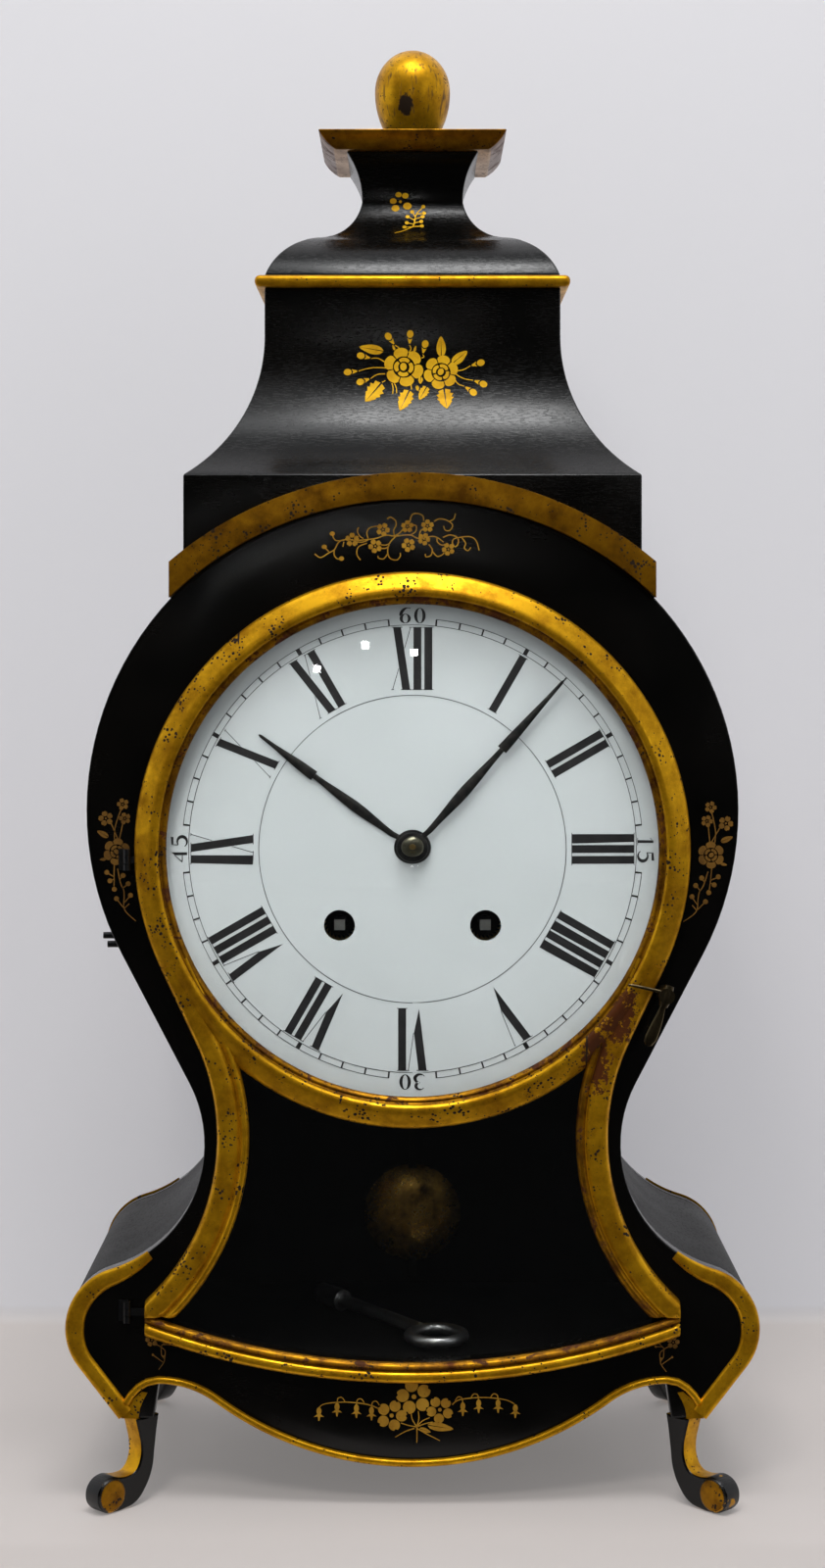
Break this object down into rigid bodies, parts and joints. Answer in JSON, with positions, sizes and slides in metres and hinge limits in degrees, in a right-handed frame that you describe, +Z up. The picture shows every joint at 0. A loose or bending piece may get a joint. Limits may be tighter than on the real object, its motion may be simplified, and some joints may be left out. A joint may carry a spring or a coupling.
{
  "type": "bracket clock",
  "caption": "Waisted black-lacquered bracket clock with gilt mouldings, glazed door, enamel dial, spring-driven striking movement, pendulum and bell.",
  "frame": {"origin": "on the floor under the middle of the clock's box", "axes": "+Z up, the dial faces -Y, +X to the right as the dial is read"},
  "size_m": [0.3118, 0.1944, 0.6773],
  "materials": {
    "lacquer": "black lacquer on wood, satin polish with open pores",
    "gilt": "leaf gilding over red ground, worn",
    "brass": "turned and filed brass",
    "steel": "blued and dark steel",
    "clear_glass": "clear old glass",
    "enamel": "white enamel on copper",
    "bare_wood": "dark stained softwood",
    "bell_metal": "cast bell metal"
  },
  "bodies": {
    "case": {"apron_trim": "gilt", "arch_moulding": "gilt", "back_board": "bare_wood", "back_cock": "brass", "back_plate": "brass", "bell": "bell_metal", "bell_stand": "steel", "case_floor": "bare_wood", "cornice": "gilt", "dial": "enamel", "finial": "gilt", "front_left_foot": "gilt", "front_panel": "lacquer", "front_plate": "brass", "front_right_foot": "gilt", "hinge_case_leaves": "steel", "hood_body": "lacquer", "hood_cap": "lacquer", "hood_strip": "gilt", "latch_post": "brass", "left_side": "lacquer", "pillars": "brass", "rear_left_foot": "gilt", "rear_right_foot": "gilt", "right_side": "lacquer", "seat_board": "bare_wood", "side_studs": "steel", "winding_key": "steel", "wing_strips": "gilt"},
    "door": {"door_frame": "gilt", "dial_glass": "clear_glass", "lower_glass": "clear_glass", "hinge_door_leaves": "steel"},
    "latch": {"latch_hook": "brass"},
    "minute_hand": {"minute_hand": "steel", "cannon_pinion": "brass"},
    "minute_wheel": {"minute_wheel": "brass"},
    "hour_hand": {"hour_hand": "steel", "hour_wheel": "brass"},
    "going_barrel": {"going_barrel": "brass", "going_mainspring": "steel"},
    "going_arbor": {"going_winding_arbor": "steel"},
    "intermediate": {"intermediate_wheel": "brass"},
    "centre": {"centre_wheel": "brass"},
    "third": {"third_wheel": "brass"},
    "escape": {"escape_wheel": "brass"},
    "pendulum": {"anchor": "steel", "suspension_spring": "steel", "pendulum_rod": "steel", "pendulum_bob": "brass"},
    "strike_barrel": {"strike_barrel": "brass", "strike_mainspring": "steel"},
    "strike_arbor": {"strike_winding_arbor": "steel"},
    "second": {"second_wheel": "brass"},
    "pin": {"pin_wheel": "brass"},
    "locking": {"locking_wheel": "brass"},
    "fly": {"fly": "brass"},
    "hammer": {"hammer": "steel"},
    "going_click": {"going_click": "steel"},
    "strike_click": {"strike_click": "steel"}
  },
  "joints": [
    {"name": "door_hinge", "type": "hinge", "parent": "case", "child": "door", "pos_m": [-0.1278, -0.0836, 0.29431], "axis": [0, 0, -1], "range_deg": [0, 110]},
    {"name": "latch_pivot", "type": "hinge", "parent": "case", "child": "latch", "pos_m": [0.11295, -0.0908, 0.23015], "axis": [0, -1, 0], "range_deg": [0, 100]},
    {"name": "minute_hand_turn", "type": "hinge", "parent": "case", "child": "minute_hand", "pos_m": [0, -0.083, 0.29431], "axis": [0, 1, 0], "continuous": true},
    {"name": "minute_wheel_turn", "type": "hinge", "parent": "case", "child": "minute_wheel", "pos_m": [0, -0.0605, 0.27751], "axis": [0, 1, 0], "continuous": true},
    {"name": "hour_hand_turn", "type": "hinge", "parent": "case", "child": "hour_hand", "pos_m": [0, -0.0805, 0.29431], "axis": [0, 1, 0], "continuous": true},
    {"name": "third_turn", "type": "hinge", "parent": "case", "child": "third", "pos_m": [0.01007, -0.031, 0.31387], "axis": [0, 1, 0], "continuous": true},
    {"name": "escape_turn", "type": "hinge", "parent": "case", "child": "escape", "pos_m": [0, -0.031, 0.32831], "axis": [0, 1, 0], "continuous": true},
    {"name": "centre_turn", "type": "hinge", "parent": "case", "child": "centre", "pos_m": [0, -0.031, 0.29431], "axis": [0, 1, 0], "continuous": true},
    {"name": "intermediate_turn", "type": "hinge", "parent": "case", "child": "intermediate", "pos_m": [0.02518, -0.031, 0.29346], "axis": [0, 1, 0], "continuous": true},
    {"name": "going_barrel_turn", "type": "hinge", "parent": "case", "child": "going_barrel", "pos_m": [0.0328, -0.031, 0.26001], "axis": [0, 1, 0], "continuous": true},
    {"name": "going_winding", "type": "hinge", "parent": "case", "child": "going_arbor", "pos_m": [0.0328, -0.057, 0.26001], "axis": [0, 1, 0], "continuous": true},
    {"name": "pendulum_swing", "type": "hinge", "parent": "case", "child": "pendulum", "pos_m": [0, 0.006, 0.34731], "axis": [0, 1, 0], "range_deg": [-4, 4]},
    {"name": "locking_turn", "type": "hinge", "parent": "case", "child": "locking", "pos_m": [-0.02708, -0.031, 0.32811], "axis": [0, 1, 0], "continuous": true},
    {"name": "fly_turn", "type": "hinge", "parent": "case", "child": "fly", "pos_m": [-0.03317, -0.031, 0.33937], "axis": [0, 1, 0], "continuous": true},
    {"name": "pin_turn", "type": "hinge", "parent": "case", "child": "pin", "pos_m": [-0.03805, -0.031, 0.31512], "axis": [0, 1, 0], "continuous": true},
    {"name": "second_turn", "type": "hinge", "parent": "case", "child": "second", "pos_m": [-0.02518, -0.031, 0.29346], "axis": [0, 1, 0], "continuous": true},
    {"name": "strike_barrel_turn", "type": "hinge", "parent": "case", "child": "strike_barrel", "pos_m": [-0.0328, -0.031, 0.26001], "axis": [0, 1, 0], "continuous": true},
    {"name": "strike_winding", "type": "hinge", "parent": "case", "child": "strike_arbor", "pos_m": [-0.0328, -0.057, 0.26001], "axis": [0, 1, 0], "continuous": true},
    {"name": "hammer_swing", "type": "hinge", "parent": "case", "child": "hammer", "pos_m": [-0.05, 0.012, 0.34031], "axis": [0, -1, 0], "range_deg": [0, 20], "stiffness_Nm_per_rad": 0.08},
    {"name": "going_click_swing", "type": "hinge", "parent": "case", "child": "going_click", "pos_m": [0.0478, -0.058, 0.26001], "axis": [0, 1, 0], "range_deg": [0, 8], "stiffness_Nm_per_rad": 0.01},
    {"name": "strike_click_swing", "type": "hinge", "parent": "case", "child": "strike_click", "pos_m": [-0.0478, -0.058, 0.26001], "axis": [0, -1, 0], "range_deg": [0, 8], "stiffness_Nm_per_rad": 0.01}
  ],
  "couplings": [
    {"joint": "minute_wheel_turn", "follows": "minute_hand_turn", "ratio": -0.33333},
    {"joint": "hour_hand_turn", "follows": "minute_hand_turn", "ratio": 0.083333},
    {"joint": "escape_turn", "follows": "third_turn", "ratio": -10},
    {"joint": "centre_turn", "follows": "third_turn", "ratio": -0.1},
    {"joint": "intermediate_turn", "follows": "third_turn", "ratio": 0.016667},
    {"joint": "going_barrel_turn", "follows": "third_turn", "ratio": -0.0027778},
    {"joint": "fly_turn", "follows": "locking_turn", "ratio": -7},
    {"joint": "pin_turn", "follows": "locking_turn", "ratio": -0.13333},
    {"joint": "second_turn", "follows": "locking_turn", "ratio": 0.022222},
    {"joint": "strike_barrel_turn", "follows": "locking_turn", "ratio": -0.0037037}
  ]
}
